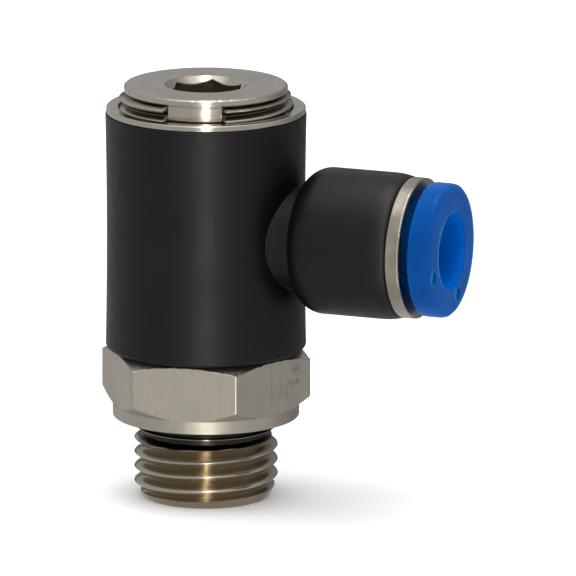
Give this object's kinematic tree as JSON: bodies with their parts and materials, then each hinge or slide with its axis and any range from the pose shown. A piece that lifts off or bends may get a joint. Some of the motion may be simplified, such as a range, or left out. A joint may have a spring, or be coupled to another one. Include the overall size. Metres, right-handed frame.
{
  "type": "flow control valve",
  "caption": "Elbow one-way flow control valve: G1/4 hollow screw, swivel housing with push-in barrel for 6 mm tube, and an adjusting screw with hexagon socket on top.",
  "frame": {"origin": "centre of the flange's seating face, on the axis of the port thread", "axes": "+Z along the port thread's axis, towards the adjusting screw; +X along the barrel, towards the tube"},
  "size_m": [0.0336, 0.0184, 0.0384],
  "materials": {
    "nickel": "nickel-plated brass, turned and milled, satin",
    "brass": "turned brass",
    "steel": "stainless spring steel",
    "rubber": "black nitrile rubber",
    "black_plastic": "black moulded PBT, satin",
    "blue_plastic": "blue moulded POM, semi-gloss",
    "white_plastic": "natural POM"
  },
  "bodies": {
    "base": {"hollow_screw": "nickel", "port_seal_ring": "rubber", "thrust_washer": "white_plastic", "lower_o_ring": "rubber", "upper_o_ring": "rubber", "check_lip_seal": "rubber", "lip_seal_backup_ring": "white_plastic", "orifice_seat": "brass", "needle_stop_ring": "steel", "top_collar": "nickel"},
    "swivel": {"housing": "black_plastic", "tube_seal": "rubber", "seal_backing_ring": "white_plastic", "grab_ring": "steel", "barrel_ring": "nickel"},
    "release": {"release_ring": "blue_plastic"},
    "needle": {"throttle_needle": "brass", "needle_o_ring": "rubber"},
    "screw": {"adjusting_screw": "nickel", "adjusting_screw_o_ring": "rubber", "needle_clip": "steel"}
  },
  "joints": [
    {"name": "housing_swivel", "type": "hinge", "parent": "base", "child": "swivel", "pos_m": [0, 0, 0.0172], "axis": [0, 0, 1], "continuous": true},
    {"name": "release_press", "type": "slide", "parent": "swivel", "child": "release", "axis": [-1, 0, 0], "range_m": [0, 0.00065], "stiffness_N_per_m": 2000, "springref_m": -0.001},
    {"name": "needle_lift", "type": "slide", "parent": "base", "child": "needle", "axis": [0, 0, 1], "range_m": [-0.002, 0.001]},
    {"name": "screw_turn", "type": "hinge", "parent": "needle", "child": "screw", "pos_m": [0, 0, 0.0308], "axis": [0, 0, 1], "range_deg": [-720, 360]}
  ],
  "couplings": [
    {"joint": "screw_turn", "follows": "needle_lift", "rad_per_m": 6283.2}
  ]
}
